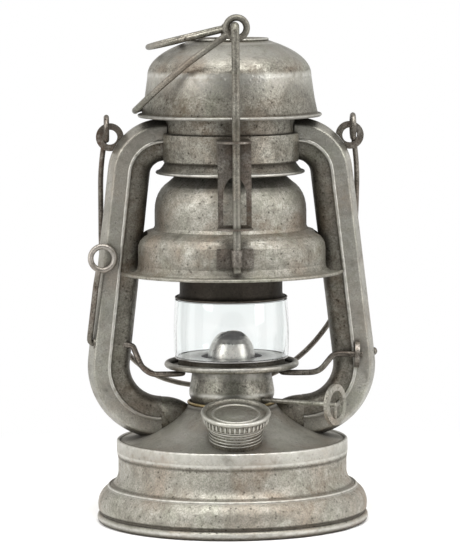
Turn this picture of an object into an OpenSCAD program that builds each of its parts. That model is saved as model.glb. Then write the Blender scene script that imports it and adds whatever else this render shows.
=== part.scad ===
// Hurricane lantern: fount, two side air tubes, hood, lifting bell, glass globe, burner and wire fittings.
// Millimetres, +Z is up, the filler cap faces -Y and the globe lever is on the -X side.

/* [Sheet and fits] */
// Thickness of the tinned sheet.
sheet = 0.8; // [0.6:0.05:0.9]
// Gap between pieces that move past each other.
clear = 0.3; // [0.2:0.05:0.4]
// Radial gap of a wire turning in its hole.
run = 0.05; // [0.03:0.01:0.08]

/* [Fount] */
// Outer radius of the rolled foot.
foot_r = 71.1; // [69:0.1:74]
// Radius of the rolled foot bead.
foot_bead = 2.6; // [2.2:0.1:3]
// Height of the straight foot skirt.
foot_h = 9.25; // [8:0.25:11]
// Outer radius of the fount drum.
drum_r = 59.8; // [58:0.1:61.5]
// Height where the foot flare runs into the drum.
flare_z = 26; // [25:0.25:28]
// Height of the seam rim around the fount.
rim_z = 43; // [41.5:0.1:44]
// How far the seam rim stands out from the drum.
rim_out = 0.6; // [0.4:0.1:1]
// Height of the burner opening at the top of the fount dome.
dome_z = 61; // [59.5:0.1:62]
// Radius of the burner opening in the fount dome.
dome_hole_r = 22.9; // [22.6:0.1:23.6]

/* [Filler] */
// Distance of the cap centre in front of the lantern axis.
cap_y = 45; // [44:0.25:46.5]
// Height of the cap centre.
cap_z = 63; // [62:0.25:64.5]
// Forward tilt of the filler neck.
cap_tilt = 15; // [12:0.5:18]
// Outer radius of the cap.
cap_r = 17.9; // [17.4:0.1:18.6]
// Height of the cap from its rim to its lower edge.
cap_h = 8.5; // [7.5:0.1:9]
// Number of grip notches around the cap.
cap_notches = 42; // [30:2:46]
// Outer radius of the filler neck.
neck_r = 13.4; // [12.8:0.1:13.6]
// Thickness of the sealing ring under the cap.
seal_t = 1.2; // [0.9:0.1:1.6]

/* [Side tubes] */
// Width of a tube seen from the front.
tube_w = 22; // [21:0.1:22.4]
// Depth of a tube from front to back.
tube_d = 21.6; // [20.8:0.1:22]
// Width of the flat outer face of a tube.
tube_face = 4.8; // [4:0.1:6]
// Depth of the chamfers beside the outer face.
tube_bevel = 3; // [2:0.1:3.6]
// Radius of the seam bead along a tube.
tube_seam = 1.1; // [0.9:0.05:1.2]
// Sideways place of the centre of the top bend.
tube_top_x = 34.5; // [34:0.1:35.5]
// Height of the centre of the top bend.
tube_top_z = 181; // [180:0.1:181.4]
// Centreline radius of the top bend.
tube_top_bend = 18.3; // [17.8:0.1:18.4]
// Sideways place of the centre of the lower bend.
tube_low_x = 37; // [36.6:0.1:37.6]
// Height of the centre of the lower bend.
tube_low_z = 81.4; // [81:0.1:82]
// Centreline radius of the lower bend.
tube_low_bend = 27.2; // [26.8:0.1:27.6]
// Sideways place of an ear hole.
ear_x = 62.3; // [61.8:0.1:62.8]
// Height of an ear hole.
ear_z = 200.8; // [200:0.1:201.4]
// Radius of an ear plate.
ear_r = 7.2; // [6.8:0.1:7.6]
// Radius of the hole in an ear.
ear_hole = 3.9; // [3.6:0.1:4.2]
// Thickness of an ear plate.
ear_t = 3; // [2:0.1:3.6]

/* [Collar and hood] */
// Outer radius of the air chamber under the hood.
chamber_r = 34.1; // [33.6:0.1:34.4]
// Height of the top edge of the air chamber.
chamber_top = 216; // [215:0.25:220]
// Radius of the flared skirt of the air chamber.
skirt_r = 38.8; // [37.6:0.1:39.4]
// Height of the lower edge of the skirt.
skirt_z = 181.8; // [181:0.1:183]
// Outer radius of the collar band.
band_r = 36.8; // [36.4:0.1:37.4]
// Height of the lower edge of the collar band.
band_z = 188; // [187.6:0.1:189]
// Height of the collar band.
band_h = 15; // [13:0.25:16]
// Radius of the hood wall just above its brim.
hood_r = 45.6; // [45.2:0.1:46.4]
// Radius of the hood wall where the dome begins.
hood_top_r = 42.6; // [41.6:0.1:43.2]
// Radius of the hood brim.
brim_r = 47.9; // [47.6:0.1:48.6]
// Height of the hood brim.
brim_z = 211.7; // [211.5:0.1:213]
// Height of the straight hood wall above the brim.
hood_wall_h = 20; // [19:0.25:21]
// Height of the flat top of the hood.
crown_z = 251.1; // [250:0.1:252]
// Radius of the flat crown plate.
crown_r = 20.5; // [19.5:0.1:21]
// Number of draught holes in the baffle under the hood.
baffle_holes = 20; // [12:1:24]
// Radius of a draught hole in the baffle.
baffle_hole_r = 2.6; // [2:0.1:3]

/* [Finger ring on the hood] */
// Wire diameter of the finger ring.
ring_wire = 3; // [2.6:0.1:3.2]
// Length of the finger ring from its hinge bar.
ring_len = 41.5; // [38:0.25:43]
// Width of the finger ring.
ring_wid = 27; // [24:0.25:28]
// Slope of the finger ring as it lies on the hood.
ring_slope = 13.2; // [12.6:0.1:13.6]
// Sideways place of the hinge bar.
ring_x = -1.5; // [-2.5:0.1:-0.5]
// Height of the hinge bar.
ring_z = 256.7; // [256.4:0.1:257]

/* [Guide bracket and rod] */
// Diameter of the front guide rod.
rod_d = 4.1; // [3.6:0.1:4.2]
// Sideways place of the guide rod.
rod_x = 0.8; // [0:0.1:1.5]
// Distance of the guide rod in front of the lower step of the bell.
rod_gap = 3; // [2.8:0.1:3.8]
// Height of the lower end of the guide rod.
rod_low = 134.4; // [133.6:0.1:136]
// Height of the bent top of the guide rod.
rod_top = 259; // [257:0.25:261]
// Width of the bracket strip.
strip_w = 17; // [15.5:0.1:17.4]
// Height of the upper guide tab.
tab_high = 200.5; // [199:0.1:202]
// Height of the lower guide tab.
tab_low = 156.5; // [156.2:0.1:158]
// Radius of a half-round guide tab.
tab_r = 9.2; // [8.8:0.1:9.8]
// Width of the pointed window in the strip.
window_w = 11.7; // [10:0.1:12]
// Height of the point of the window.
window_top = 184; // [181:0.25:186]

/* [Bell and chimney] */
// Radius of the bell flange.
bell_flange_r = 59.1; // [58:0.1:59.4]
// Height of the bell flange.
bell_z = 130.8; // [130:0.1:131.6]
// Radius of the lower step of the bell.
step_r = 50.2; // [49.4:0.1:50.3]
// Radius of the upper step of the bell.
bell_r = 39.5; // [38.4:0.1:40.2]
// Outer radius of the bell neck inside the air chamber.
bell_neck_r = 27.6; // [27.2:0.1:28.6]
// Height of the shoulder where the upper step begins.
step_z = 152.5; // [151.6:0.1:153]
// Height of the shoulder where the neck begins.
neck_z = 180; // [178:0.25:181]
// Height of the top edge of the bell neck.
neck_top = 196; // [194:0.25:198]
// Radius of the flared lip of the chimney tube.
lip_r = 29.35; // [28.8:0.05:29.6]
// Half width of the side recesses in the bell that clear the tubes.
pocket_y = 12.9; // [12.6:0.1:13.6]
// Sideways place of the back of the side recesses.
pocket_x = 43.2; // [42.6:0.1:43.4]
// Width of the clip that holds the guide rod.
clip_w = 18.6; // [16:0.1:20]
// Height of the lower edge of the clip.
clip_z = 136.4; // [136:0.1:137]
// Height of the clip.
clip_h = 10.1; // [8:0.1:10.6]

/* [Globe and its carriage] */
// Radius of the globe at its middle.
globe_r = 30.4; // [30:0.1:31.2]
// Height of the globe.
globe_h = 29.8; // [28.4:0.1:30.6]
// Thickness of the glass.
glass_t = 1.8; // [1.4:0.1:2.2]
// Height of the plate that the globe stands on.
disc_z = 86.2; // [85.6:0.1:86.8]
// Radius of the plate that the globe stands on.
disc_r = 29.6; // [29.4:0.1:30.4]
// Radius of the hole in that plate.
disc_hole_r = 16; // [15:0.1:17]
// Ring radius of the round dish rim.
dish_r = 33.4; // [33:0.1:34]
// Wire radius of the round dish rim.
dish_wire = 1.7; // [1.5:0.05:1.9]
// Height of the dish rim.
dish_z = 82; // [82:0.05:82.6]
// Radius of the wall between the dish and the plate.
gallery_r = 27.8; // [27.2:0.1:28.4]

/* [Globe lifter] */
// Wire diameter of the globe lifter.
lifter_d = 3; // [2.6:0.1:3.1]
// Height of the lifter axis at the lever end.
lifter_left_z = 94.2; // [93.6:0.1:94.8]
// Height of the lifter axis at the eye end.
lifter_right_z = 87.4; // [87:0.1:88]
// Distance of the lifter axis in front of the lantern axis at the lever end.
lifter_left_y = 7; // [6.8:0.05:7.2]
// Distance of the lifter axis in front of the lantern axis at the eye end.
lifter_right_y = 13.3; // [13.3:0.05:13.8]
// Bow radius of the lifter around the burner.
lifter_bow = 27; // [26.4:0.1:27.6]
// Height of the lever loop centre.
lever_z = 139; // [137:0.25:141]
// Radius of the lever loop.
lever_loop = 6.2; // [5:0.1:6.6]
// Radius of the eye that holds the lifter on the right tube.
eye_r = 6.8; // [6:0.1:7.2]

/* [Burner] */
// Radius of the burner barrel at its belly.
barrel_r = 22.3; // [21.9:0.1:22.6]
// Radius of the burner barrel at its top.
barrel_top_r = 20.5; // [20:0.1:21]
// Height of the burner deck above the dome opening.
deck_h = 18; // [17:0.1:18.4]
// Radius of the foot of the flame cone.
cone_r = 12.5; // [11.8:0.1:13]
// Height of the flame cone above the deck.
cone_h = 20.5; // [19:0.25:21.5]
// Width of the wick.
wick_w = 12; // [10:0.25:12.5]
// Thickness of the wick.
wick_t = 2; // [1.6:0.05:2.2]
// Diameter of the wick shaft.
shaft_d = 2.4; // [2:0.1:2.6]
// Height of the wick shaft above the dome opening.
shaft_h = 3.6; // [3.4:0.1:4.2]
// Distance of the knob ring from the lantern axis.
knob_reach = 63.7; // [61:0.1:66]
// Turn of the knob ring from the right side toward the front.
knob_turn = 36.5; // [33:0.5:40]
// Outer radius of the knob ring.
knob_r = 10.6; // [9.6:0.1:11.2]
// Inner radius of the knob ring.
knob_hole_r = 7.3; // [6.6:0.1:8]
// Thickness of the knob ring.
knob_t = 2; // [1.6:0.1:2.4]
// Radius of a wick wheel.
wheel_r = 3.6; // [3.3:0.1:3.8]

/* [Top wire and bail] */
// Wire diameter of the top wire.
top_wire_d = 3.4; // [3:0.1:3.5]
// Ring radius of the eye of the top wire.
top_eye_r = 5.2; // [5.1:0.1:5.8]
// Wire diameter of the bail.
bail_d = 2.8; // [2.4:0.1:3]
// Ring radius of the bail end rings.
bail_ring_r = 5.9; // [5.8:0.1:6.2]
// Sideways place of the bail end rings.
bail_x = 64; // [63.8:0.1:64.6]
// Height of the bail swing axis.
bail_z = 205.2; // [204.9:0.1:205.4]
// Length of the bail from its axis to the bottom of its bow.
bail_len = 152.5; // [148:0.5:156]
// Backward lean of the hanging bail.
bail_lean = 19; // [17:0.5:22]

/* [Hidden] */
$fn = 64;
rim_r = drum_r + rim_out;
rim_bead = 0.9;
flange_bead = 0.8;
neck_in = neck_r - sheet - 0.1;
cap_seat = -3;
cap_low_r = neck_r + 1.8;
cap_slope = atan2(cap_r - 1.2 - cap_low_r, cap_h - 2.4);
neck_end = cap_seat - seal_t;
tube_half = tube_w / 2;
tube_half_d = tube_d / 2;
inner_half_d = tube_half_d - 1.2;
seam_u = -0.3;
seam_w = tube_half_d - 0.6;
inner_edge_u = seam_u - 1;
tube_rise = tube_top_z - tube_low_z;
tube_run = tube_low_x - tube_top_x;
tube_span = sqrt(tube_rise * tube_rise + tube_run * tube_run);
tube_lean = atan2(tube_run, tube_rise) + asin((tube_low_bend - tube_top_bend) / tube_span);
tube_len = sqrt(tube_span * tube_span - pow(tube_low_bend - tube_top_bend, 2));
tube_foot_x = tube_low_x + tube_low_bend * cos(tube_lean);
tube_foot_z = tube_low_z + tube_low_bend * sin(tube_lean);
tube_joint = 0.02;
boss_r = tube_half - 0.1;
boss_z = tube_low_z - tube_low_bend;
rod_y = step_r + rod_gap;
strip_y = rod_y - rod_d / 2 - clear - sheet;
chimney_r = bell_neck_r - sheet;
lip_z = disc_z + globe_h + 0.4;
burner_foot = dome_z - 1;
deck_z = dome_z + deck_h;
shaft_z = dome_z + shaft_h;
shaft_off = wheel_r + wick_t / 2 + 0.2;
shaft_turn = knob_turn - asin(shaft_off / knob_reach);
shaft_len = sqrt(knob_reach * knob_reach - shaft_off * shaft_off);
wick_tube_w = wick_w + 1.2;
wick_tube_t = wick_t + 1.4;
ring_end_r = ring_wid / 2;
ring_corner = 6;
left_x = -74.2;
right_x = 66;
lift_a = [left_x, -lifter_left_y, lifter_left_z];
lift_b = [right_x, -lifter_right_y, lifter_right_z];
bow_z = dish_z - dish_wire - lifter_d / 2 - 0.6;
eye_x = 64.6;
lever_x = -66.8;
lever_y = -lifter_right_y - 0.2;
top_eye_z = rod_top - 1;
top_eye_y = 47.5;

function bez(a, b, c, n) = [
    for (i = [0 : n])
        let (t = i / n)
        a * (1 - t) * (1 - t) + b * 2 * t * (1 - t) + c * t * t
];
function tail(p) = [for (i = [1 : len(p) - 1]) p[i]];
function rev(p) = [for (i = [len(p) - 1 : -1 : 0]) p[i]];
function unit(v) = v / norm(v);
function left_of(v) = [-v[1], v[0]];
function seg_n(p, i) = left_of(unit(p[i + 1] - p[i]));
function miter(a, b) = (a + b) / (1 + a * b);
function off_pt(p, i, t) =
    i == 0 ? p[0] + t * seg_n(p, 0)
    : i == len(p) - 1 ? p[i] + t * seg_n(p, i - 1)
    : p[i] + t * miter(seg_n(p, i - 1), seg_n(p, i));
function off(p, t) = [for (i = [0 : len(p) - 1]) off_pt(p, i, t)];
function band_of(p, t) = concat(p, rev(off(p, t)));
function along_lift(x) = lift_a + (lift_b - lift_a) * (x - left_x) / (right_x - left_x);

// Places a child with its Z axis on the line from a to b.
module aim(a, b) {
    v = b - a;
    translate(a)
        rotate([0, acos(v[2] / norm(v)), atan2(v[1], v[0])])
            children();
}

// A round bar from a to b.
module rod(a, b, d) {
    aim(a, b)
        cylinder(d = d, h = norm(b - a));
}

// A wire with n flats, bent through the points p.
module wire(p, d, n) {
    for (i = [0 : len(p) - 2])
        hull() {
            translate(p[i])
                sphere(d = d, $fn = n);
            translate(p[i + 1])
                sphere(d = d, $fn = n);
        }
}

// A closed ring of wire with n flats that lies across Z.
module wire_ring(r, d, n) {
    rotate_extrude($fn = 32)
        translate([r, 0])
            circle(d = d, $fn = n);
}

// Copies a child to both sides of the lantern.
module both() {
    children();
    mirror([1, 0, 0])
        children();
}

// Frame of the filler neck, with Z out along the neck and zero at the cap face.
module on_neck() {
    translate([0, -cap_y, cap_z])
        rotate([cap_tilt, 0, 0])
            children();
}

// Frame of the wick shaft, with Z out toward the knob ring and X up.
module on_shaft() {
    rotate([0, 0, -shaft_turn])
        translate([0, -shaft_off, shaft_z])
            rotate([0, 90, 0])
                rotate([0, 0, 180])
                    children();
}

// Outline of the fount drum and foot, from the foot bead up.
function foot_path() = concat(
    [[foot_r - 0.3, foot_bead + 0.6]],
    bez([foot_r - 0.7, foot_h], [foot_r - 1.2, flare_z - 10.5], [drum_r + 5, flare_z - 7.6], 6),
    tail(bez([drum_r + 5, flare_z - 7.6], [drum_r + 0.4, flare_z - 5], [drum_r, flare_z], 4)),
    [[drum_r, rim_z - 10], [rim_r, rim_z - 7], [rim_r, rim_z - rim_bead]]
);

// Outline of the fount dome, from the rim in to the burner opening.
function dome_path() = concat(
    [[rim_r - 2 * rim_bead - 0.05, rim_z - rim_bead]],
    bez([rim_r - 2.9, rim_z - 0.4], [43, rim_z + 0.6], [dome_hole_r, dome_z], 8)
);

module dome_solid() {
    rotate_extrude()
        polygon(concat(dome_path(), [[0, dome_z], [0, 15], [rim_r - 2 * rim_bead - 0.05, 15]]));
}

module fount_shell() {
    color([0.55, 0.53, 0.50])
        rotate_extrude()
            difference() {
                union() {
                    polygon(band_of(foot_path(), sheet));
                    translate([foot_r - foot_bead, foot_bead - 0.2])
                        circle(r = foot_bead);
                    translate([rim_r - rim_bead, rim_z - rim_bead])
                        circle(r = rim_bead);
                }
                translate([foot_r - 10, -10])
                    square([20, 10]);
                translate([rim_r, rim_z - 4])
                    circle(r = 0.45);
            }
}

module fount_bottom() {
    color([0.50, 0.48, 0.45])
        translate([0, 0, 2 * foot_bead - 0.1])
            cylinder(r = foot_r - 0.6 - sheet - 0.1, h = sheet);
}

module boss() {
    difference() {
        translate([tube_low_x, 0, boss_z])
            sphere(r = boss_r);
        translate([tube_low_x, 0, boss_z])
            sphere(r = boss_r - sheet);
        translate([tube_low_x, -boss_r - 1, boss_z - boss_r - 1])
            cube(2 * boss_r + 2);
        dome_solid();
    }
}

module fount_top() {
    color([0.53, 0.51, 0.48]) {
        difference() {
            rotate_extrude()
                polygon(band_of(dome_path(), sheet));
            on_neck()
                translate([0, 0, -40])
                    cylinder(r = neck_in, h = 40);
        }
        both()
            boss();
    }
}

module burner_collar() {
    color([0.55, 0.50, 0.42])
        rotate_extrude() {
            translate([dome_hole_r - 2 * sheet - 0.05, dome_z - 4])
                square([sheet, 4.9]);
            translate([dome_hole_r - 0.3, dome_z + 0.9])
                circle(r = 0.8);
        }
}

module filler_neck() {
    color([0.52, 0.50, 0.47])
        difference() {
            on_neck()
                difference() {
                    union() {
                        translate([0, 0, -32])
                            cylinder(r = neck_r, h = 32 + neck_end);
                        for (i = [0 : 2])
                            translate([0, 0, -cap_h - 1.4 - 1.9 * i])
                                rotate_extrude()
                                    translate([neck_r, 0])
                                        circle(r = 0.5);
                    }
                    translate([0, 0, -33])
                        cylinder(r = neck_in, h = 34);
                }
            dome_solid();
        }
}

module cap_seal() {
    color([0.35, 0.26, 0.18])
        on_neck()
            translate([0, 0, neck_end + 0.02])
                difference() {
                    cylinder(r = neck_r + 0.4, h = seal_t - 0.04);
                    translate([0, 0, -1])
                        cylinder(r = neck_r - 3, h = seal_t + 2);
                }
}

// Points of the rolled rim of the cap.
function cap_bead(t) = [cap_r - 1.2 + 1.2 * cos(t), -1.2 + 1.2 * sin(t)];

module filler_cap() {
    color([0.52, 0.50, 0.46])
        on_neck()
            difference() {
                rotate_extrude()
                    polygon(concat(
                        [[0, cap_seat], [0, cap_seat + 1.4], [cap_r - 2.8, cap_seat + 1.4]],
                        [for (i = [0 : 8]) cap_bead(150 - i * 30)],
                        [[cap_low_r, -cap_h], [neck_r + 0.8, -cap_h], [neck_r + 0.8, cap_seat]]
                    ));
                for (i = [0 : cap_notches - 1])
                    rotate([0, 0, i * 360 / cap_notches])
                        translate([cap_low_r, 0, -cap_h])
                            rotate([0, cap_slope, 0])
                                translate([-0.5, -0.6, 0.9])
                                    cube([4, 1.2, cap_h - 3.7]);
            }
}

// Section of the outer half of a tube: X is outward and Y runs from front to back.
function tube_path() = [
    [seam_u + 0.6, -tube_half_d], [tube_half - tube_bevel, -tube_half_d], [tube_half, -tube_face / 2],
    [tube_half, tube_face / 2], [tube_half - tube_bevel, tube_half_d], [seam_u + 0.6, tube_half_d]
];
function tube_round() = concat(
    [[inner_edge_u, inner_half_d]],
    bez([-3, inner_half_d], [-tube_half, inner_half_d], [-tube_half, 0], 6),
    tail(bez([-tube_half, 0], [-tube_half, -inner_half_d], [-3, -inner_half_d], 6)),
    [[inner_edge_u, -inner_half_d]]
);

module outer_section() {
    polygon(band_of(tube_path(), sheet));
    for (s = [-1, 1])
        translate([seam_u, s * seam_w])
            circle(r = tube_seam);
}

module inner_section() {
    polygon(band_of(tube_round(), sheet));
}

module full_section() {
    polygon(concat(tube_path(), tube_round()));
}

// Sweeps a section around the lower bend of the right-hand tube.
module low_bend() {
    translate([tube_low_x, 0, tube_low_z])
        rotate([90, 0, 0])
            rotate([0, 0, -90])
                rotate_extrude(angle = 90 + tube_lean)
                    translate([tube_low_bend, 0])
                        children();
}

// Sweeps a section up the straight of the right-hand tube.
module straight() {
    translate([tube_foot_x, 0, tube_foot_z])
        rotate([0, -tube_lean, 0])
            translate([0, 0, tube_joint])
                linear_extrude(tube_len - 2 * tube_joint)
                    children();
}

// Sweeps a section around the top bend of the right-hand tube.
module top_bend() {
    translate([tube_top_x, 0, tube_top_z])
        rotate([90, 0, 0])
            rotate([0, 0, tube_lean])
                rotate_extrude(angle = 90 - tube_lean)
                    translate([tube_top_bend, 0])
                        children();
}

// Sweeps a section along the short level end that meets the air chamber.
module top_stub() {
    translate([tube_top_x - tube_joint, 0, tube_top_z + tube_top_bend])
        rotate([0, -90, 0])
            linear_extrude(6)
                children();
}

// Sweeps a section along the whole right-hand tube.
module along_tube() {
    low_bend()
        children();
    straight()
        children();
    top_bend()
        children();
    top_stub()
        children();
}

// The same sweep, ended on the fount dome and on the air chamber.
module fitted_tube() {
    difference() {
        low_bend()
            children();
        dome_solid();
    }
    straight()
        children();
    difference() {
        union() {
            top_bend()
                children();
            top_stub()
                children();
        }
        translate([0, 0, skirt_z - 5])
            cylinder(r = chamber_r, h = 60);
    }
}

module tube_outer() {
    fitted_tube()
        outer_section();
}

module tube_inner() {
    fitted_tube()
        inner_section();
}

// Bar shape of the lifter axis, for the holes in the left tube.
module lift_bore(r) {
    aim(along_lift(left_x - 6), along_lift(-40))
        cylinder(r = r, h = 40);
}

module left_tube_outer() {
    color([0.55, 0.53, 0.50])
        difference() {
            mirror([1, 0, 0])
                tube_outer();
            aim(along_lift(left_x - 6), along_lift(-62))
                cylinder(r = lifter_d / 2 + 1.7, h = 20);
        }
}

module left_tube_inner() {
    color([0.50, 0.48, 0.45])
        difference() {
            mirror([1, 0, 0])
                tube_inner();
            lift_bore(lifter_d / 2 + 1);
        }
}

module right_tube_outer() {
    color([0.55, 0.53, 0.50])
        tube_outer();
}

module right_tube_inner() {
    color([0.50, 0.48, 0.45])
        tube_inner();
}

module ear() {
    difference() {
        translate([ear_x, ear_t / 2, ear_z])
            rotate([90, 0, 0])
                cylinder(r = ear_r, h = ear_t);
        translate([ear_x, ear_t, ear_z])
            rotate([90, 0, 0])
                cylinder(r = ear_hole, h = 2 * ear_t);
        along_tube()
            full_section();
    }
}

module left_ear() {
    color([0.46, 0.40, 0.36])
        mirror([1, 0, 0])
            ear();
}

module right_ear() {
    color([0.46, 0.40, 0.36])
        ear();
}

module air_chamber() {
    p = [
        [skirt_r - 0.4, skirt_z + 0.3], [chamber_r + 1.5, skirt_z + 3.2],
        [chamber_r, skirt_z + 5.4], [chamber_r, chamber_top]
    ];
    color([0.54, 0.52, 0.49])
        difference() {
            rotate_extrude() {
                polygon(band_of(p, sheet));
                translate([skirt_r - flange_bead, skirt_z + 0.6])
                    circle(r = flange_bead);
            }
            both()
                translate([chamber_r - 8, -inner_half_d + 2, tube_top_z + tube_top_bend - tube_half + 3])
                    cube([12, 2 * inner_half_d - 4, tube_w - 6]);
        }
}

module collar_band() {
    p = [
        [chamber_r, band_z], [band_r - 0.6, band_z], [band_r, band_z + 0.6],
        [band_r, band_z + band_h - 0.6], [band_r - 0.6, band_z + band_h], [chamber_r, band_z + band_h]
    ];
    color([0.55, 0.53, 0.50])
        difference() {
            rotate_extrude()
                polygon(band_of(p, sheet));
            translate([-60, -tube_half_d - 0.8, band_z - 1])
                cube([120, tube_d + 1.6, band_h + 2]);
        }
}

module half_round(z) {
    translate([0, -strip_y - sheet, z - 0.5])
        intersection() {
            cylinder(r = tab_r, h = 1);
            translate([-tab_r - 1, -tab_r - 1, -1])
                cube([2 * tab_r + 2, tab_r + 1 + sheet, 3]);
        }
}

module guide_bracket() {
    w = strip_w / 2;
    spring_z = window_top - window_w * 0.866;
    color([0.53, 0.51, 0.48])
        difference() {
            union() {
                difference() {
                    translate([-w, -strip_y - sheet, tab_low - 0.5])
                        cube([strip_w, sheet, tab_high - tab_low + 1]);
                    translate([-window_w / 2, -strip_y - 5, tab_low + 2])
                        cube([window_w, 10, spring_z - tab_low - 2]);
                    translate([0, -strip_y + 5, spring_z])
                        rotate([90, 0, 0])
                            intersection() {
                                translate([-window_w / 2, 0, 0])
                                    cylinder(r = window_w, h = 10);
                                translate([window_w / 2, 0, 0])
                                    cylinder(r = window_w, h = 10);
                                translate([-window_w, 0, 0])
                                    cube([2 * window_w, window_w, 10]);
                            }
                }
                for (s = [-1, 1])
                    translate([s * (w - sheet / 2) - sheet / 2, -strip_y - sheet, band_z + 0.7])
                        cube([sheet, strip_y, tab_high - band_z - 0.7]);
                translate([-w, -strip_y, tab_high - 0.5])
                    cube([strip_w, strip_y, 1]);
                half_round(tab_high);
                half_round(tab_low);
            }
            translate([rod_x, -rod_y, tab_low - 5])
                cylinder(r = rod_d / 2 + clear / 2, h = 60);
            translate([0, 0, band_z - 2])
                cylinder(r = band_r, h = 40);
        }
}

// Outline of the hood from the brim to the crown.
function hood_path() = concat(
    [[brim_r - 0.4, brim_z], [hood_r + 1.2, brim_z + 0.3], [hood_r + 0.3, brim_z + 1.1]],
    [[hood_r, brim_z + 2.2], [hood_r - 1.4, brim_z + hood_wall_h * 0.45]],
    bez([hood_top_r, brim_z + hood_wall_h], [hood_top_r + 0.4, crown_z - 8.1], [crown_r, crown_z - sheet], 8)
);

module hood() {
    color([0.56, 0.54, 0.51])
        rotate_extrude() {
            polygon(band_of(hood_path(), sheet));
            translate([brim_r - flange_bead, brim_z + 0.2])
                circle(r = flange_bead);
        }
}

module hood_baffle() {
    r0 = chamber_r;
    r1 = hood_r - sheet - 0.25;
    z = brim_z + 2.4;
    color([0.42, 0.40, 0.38])
        difference() {
            rotate_extrude() {
                translate([r0, z])
                    square([r1 - r0, sheet]);
                translate([r0, z])
                    square([sheet, chamber_top - z - 0.4]);
            }
            for (i = [0 : baffle_holes - 1])
                rotate([0, 0, i * 360 / baffle_holes])
                    translate([(r0 + sheet + r1) / 2, 0, z - 1])
                        cylinder(r = baffle_hole_r, h = sheet + 2);
        }
}

module crown_plate() {
    color([0.55, 0.53, 0.50])
        rotate_extrude() {
            translate([0, crown_z - sheet])
                square([crown_r - 0.3, sheet]);
            intersection() {
                translate([crown_r - 0.6, crown_z - 0.1])
                    circle(r = 0.6);
                translate([0, crown_z - sheet])
                    square([crown_r + 1, 3]);
            }
        }
}

module ring_lug() {
    r = ring_wire / 2 + 1.2;
    color([0.52, 0.50, 0.47])
        difference() {
            union() {
                translate([ring_x, 3.2, ring_z])
                    rotate([90, 0, 0])
                        cylinder(r = r, h = 6.4);
                translate([ring_x - r, -3.2, crown_z])
                    cube([2 * r, 6.4, ring_z - crown_z]);
                translate([ring_x - 6, -4, crown_z])
                    cube([12, 8, 0.8]);
            }
            translate([ring_x, 5, ring_z])
                rotate([90, 0, 0])
                    cylinder(r = ring_wire / 2 + run, h = 10);
        }
}

// Flat outline bars of the finger ring: X runs from the hinge bar to the far end.
module ring_arc(cx, cy, r, from, sweep) {
    translate([cx, cy, 0])
        rotate([0, 0, from])
            rotate_extrude(angle = sweep)
                translate([r, 0])
                    circle(d = ring_wire);
}

module hood_ring() {
    e = ring_end_r;
    far = ring_len - e;
    color([0.50, 0.48, 0.45])
        translate([ring_x, 0, ring_z])
            rotate([0, -ring_slope, 0])
                rotate([0, 0, 180]) {
                    rod([0, -e + ring_corner, 0], [0, e - ring_corner, 0], ring_wire);
                    ring_arc(ring_corner, e - ring_corner, ring_corner, 90, 90);
                    ring_arc(ring_corner, ring_corner - e, ring_corner, 180, 90);
                    rod([ring_corner, e, 0], [far, e, 0], ring_wire);
                    rod([ring_corner, -e, 0], [far, -e, 0], ring_wire);
                    ring_arc(far, 0, e, -90, 180);
                    rod([far - 3, -e, 0], [far - 3, e, 0], ring_wire * 0.8);
                }
}

// Outline of the burner barrel from its foot to its deck.
function barrel_path() = [
    [barrel_top_r + 0.4, burner_foot], [barrel_top_r + 0.5, dome_z + 1.8], [barrel_r, dome_z + 5],
    [barrel_r, dome_z + 7], [barrel_top_r + 0.9, dome_z + 12], [barrel_top_r, deck_z]
];

module burner_body() {
    color([0.55, 0.53, 0.50])
        difference() {
            rotate_extrude()
                polygon(band_of(barrel_path(), sheet));
            on_shaft()
                cylinder(r = shaft_d / 2 + run, h = 40);
        }
}

module wick_box(w, t, z0, z1) {
    rotate([0, 0, -shaft_turn])
        translate([-w / 2, -t / 2, z0])
            cube([w, t, z1 - z0]);
}

module burner_deck() {
    color([0.50, 0.48, 0.45])
        difference() {
            translate([0, 0, deck_z - sheet])
                cylinder(r = barrel_top_r - sheet - 0.15, h = sheet);
            wick_box(wick_tube_w, wick_tube_t, deck_z - 3, deck_z + 3);
        }
}

module cone_form(d) {
    difference() {
        rotate_extrude()
            polygon(concat(
                [[0, deck_z], [cone_r - d, deck_z]],
                bez([cone_r - d, deck_z + 4], [cone_r - 0.6 - d, deck_z + cone_h - d], [0, deck_z + cone_h - d], 8)
            ));
        rotate([0, 0, -shaft_turn])
            translate([0, 0, deck_z + cone_h + 0.6])
                rotate([0, 90, 0])
                    cylinder(r = 3.6 + d, h = 60, center = true);
    }
}

module burner_cone() {
    color([0.72, 0.72, 0.70])
        difference() {
            cone_form(0);
            translate([0, 0, -0.01])
                cone_form(0.7);
            wick_box(wick_tube_w + 1, wick_t + 1.4, deck_z + 5, deck_z + cone_h + 5);
        }
}

module wick_tube() {
    color([0.60, 0.48, 0.26])
        difference() {
            wick_box(wick_tube_w, wick_tube_t, shaft_z - 12, deck_z + cone_h - 7.5);
            wick_box(wick_w + 0.4, wick_t + 0.4, shaft_z - 13, deck_z + cone_h);
            rotate([0, 0, -shaft_turn])
                translate([-5, -wick_tube_t, shaft_z - wheel_r])
                    cube([10, wick_tube_t, 2 * wheel_r]);
        }
}

module wick() {
    color([0.86, 0.82, 0.72])
        wick_box(wick_w, wick_t, 12, deck_z + cone_h - 6);
}

module wick_shaft() {
    color([0.45, 0.38, 0.33])
        on_shaft() {
            translate([0, 0, -7])
                cylinder(d = shaft_d, h = shaft_len + 7);
            translate([0, 0, shaft_len - knob_t / 2])
                difference() {
                    cylinder(r = knob_r, h = knob_t);
                    translate([0, 0, -1])
                        cylinder(r = knob_hole_r, h = knob_t + 2);
                }
            translate([-knob_r + 1, 0, shaft_len])
                rotate([0, 90, 0])
                    cylinder(d = knob_t - 0.2, h = knob_r - 1);
            translate([0, 0, shaft_len])
                sphere(d = shaft_d * 1.02);
        }
}

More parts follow.
